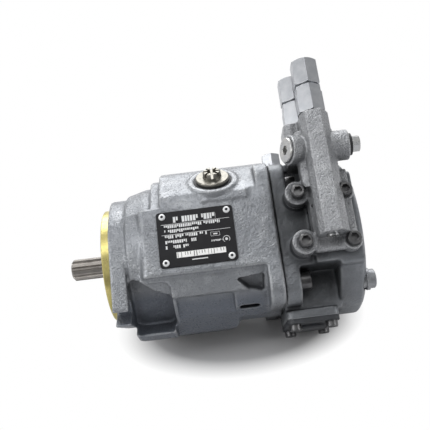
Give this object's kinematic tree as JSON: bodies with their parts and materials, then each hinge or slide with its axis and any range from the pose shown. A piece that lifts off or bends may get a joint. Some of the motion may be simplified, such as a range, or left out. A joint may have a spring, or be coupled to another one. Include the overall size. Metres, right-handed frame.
{
  "type": "axial piston pump",
  "caption": "Swash plate piston pump with a two-bolt flange, splined shaft, cast housing, rear port plate and a slanted control valve with two capped adjusters.",
  "frame": {"origin": "centre of the mounting face on the shaft axis", "axes": "+X to the rear along the shaft, +Z along the drain plug's axis, -Y to the side the name plate leans towards"},
  "size_m": [0.214, 0.1335, 0.1975],
  "materials": {
    "cast_silver": "satin silver-grey paint over rough casting",
    "valve_cast": "bare light grey casting, rough",
    "chromate": "yellow passivated",
    "zinc": "bright zinc plated",
    "shaft_steel": "hardened and ground",
    "bearing_steel": "ground and polished",
    "bronze": "machined",
    "dark_iron": "machined, oiled",
    "black_plate": "black anodised plate",
    "label_white": "printed film",
    "rubber": "moulded",
    "cover_black": "moulded",
    "spring_steel": "oil tempered wire"
  },
  "bodies": {
    "casing": {"housing": "cast_silver", "port_plate": "cast_silver", "pilot_ring": "chromate", "joint_gasket": "cover_black", "joint_screws": "zinc", "name_plate": "black_plate", "name_plate_label": "label_white", "name_plate_rivets": "zinc", "drain_plug": "chromate", "drain_plug_seal": "rubber", "top_plug": "zinc", "top_plug_washer": "zinc", "rear_plug": "zinc", "suction_cover": "cover_black", "suction_cover_screws": "zinc", "shaft_seal": "rubber", "seal_retaining_ring": "spring_steel", "front_bearing_cup": "bearing_steel", "rear_bearing_cup": "bearing_steel", "swash_plate": "dark_iron", "cradle_bearings": "bronze", "valve_plate": "bronze", "control_piston_guide": "dark_iron", "control_piston": "bearing_steel", "return_spring_seat": "dark_iron", "return_spring": "spring_steel", "valve_body": "valve_cast", "valve_gasket": "cover_black", "valve_screws": "zinc", "valve_left_plug": "zinc", "valve_right_plug": "zinc", "valve_right_plug_seal": "rubber", "valve_end_plug": "zinc", "sleeve_seals": "rubber", "pressure_sleeve_nut": "zinc", "pressure_cap_nut": "zinc", "flow_sleeve_nut": "zinc", "flow_cap_nut": "zinc"},
    "rotor": {"drive_shaft": "shaft_steel", "front_bearing_cone": "bearing_steel", "front_bearing_rollers": "bearing_steel", "rear_bearing_cone": "bearing_steel", "rear_bearing_rollers": "bearing_steel", "slippers": "bronze", "pistons": "bearing_steel", "retainer_plate": "dark_iron", "retainer_ball": "bearing_steel", "cylinder_block": "dark_iron", "block_spring": "spring_steel", "block_spring_washers": "bearing_steel", "pressure_pins": "bearing_steel"},
    "pressure_spool_set": {"pressure_spool": "bearing_steel", "pressure_spring_seat": "dark_iron", "pressure_spring": "spring_steel"},
    "flow_spool_set": {"flow_spool": "bearing_steel", "flow_spring_seat": "dark_iron", "flow_spring": "spring_steel"},
    "pressure_screw": {"pressure_adjusting_screw": "zinc"},
    "flow_screw": {"flow_adjusting_screw": "zinc"}
  },
  "joints": [
    {"name": "shaft_spin", "type": "hinge", "parent": "casing", "child": "rotor", "pos_m": [0, 0, 0], "axis": [1, 0, 0], "continuous": true},
    {"name": "pressure_spool_slide", "type": "slide", "parent": "casing", "child": "pressure_spool_set", "axis": [0, 0.7431, 0.6691], "range_m": [0, 0.003], "stiffness_N_per_m": 5000, "springref_m": -0.002, "deforming": ["pressure_spring"]},
    {"name": "flow_spool_slide", "type": "slide", "parent": "casing", "child": "flow_spool_set", "axis": [0, 0.7431, 0.6691], "range_m": [0, 0.003], "stiffness_N_per_m": 2000, "springref_m": -0.002, "deforming": ["flow_spring"]},
    {"name": "pressure_screw_feed", "type": "slide", "parent": "casing", "child": "pressure_screw", "axis": [0, 0.7431, 0.6691], "range_m": [-0.003, 0.0025], "deforming": ["pressure_spring"]},
    {"name": "flow_screw_feed", "type": "slide", "parent": "casing", "child": "flow_screw", "axis": [0, 0.7431, 0.6691], "range_m": [-0.003, 0.0025], "deforming": ["flow_spring"]}
  ]
}
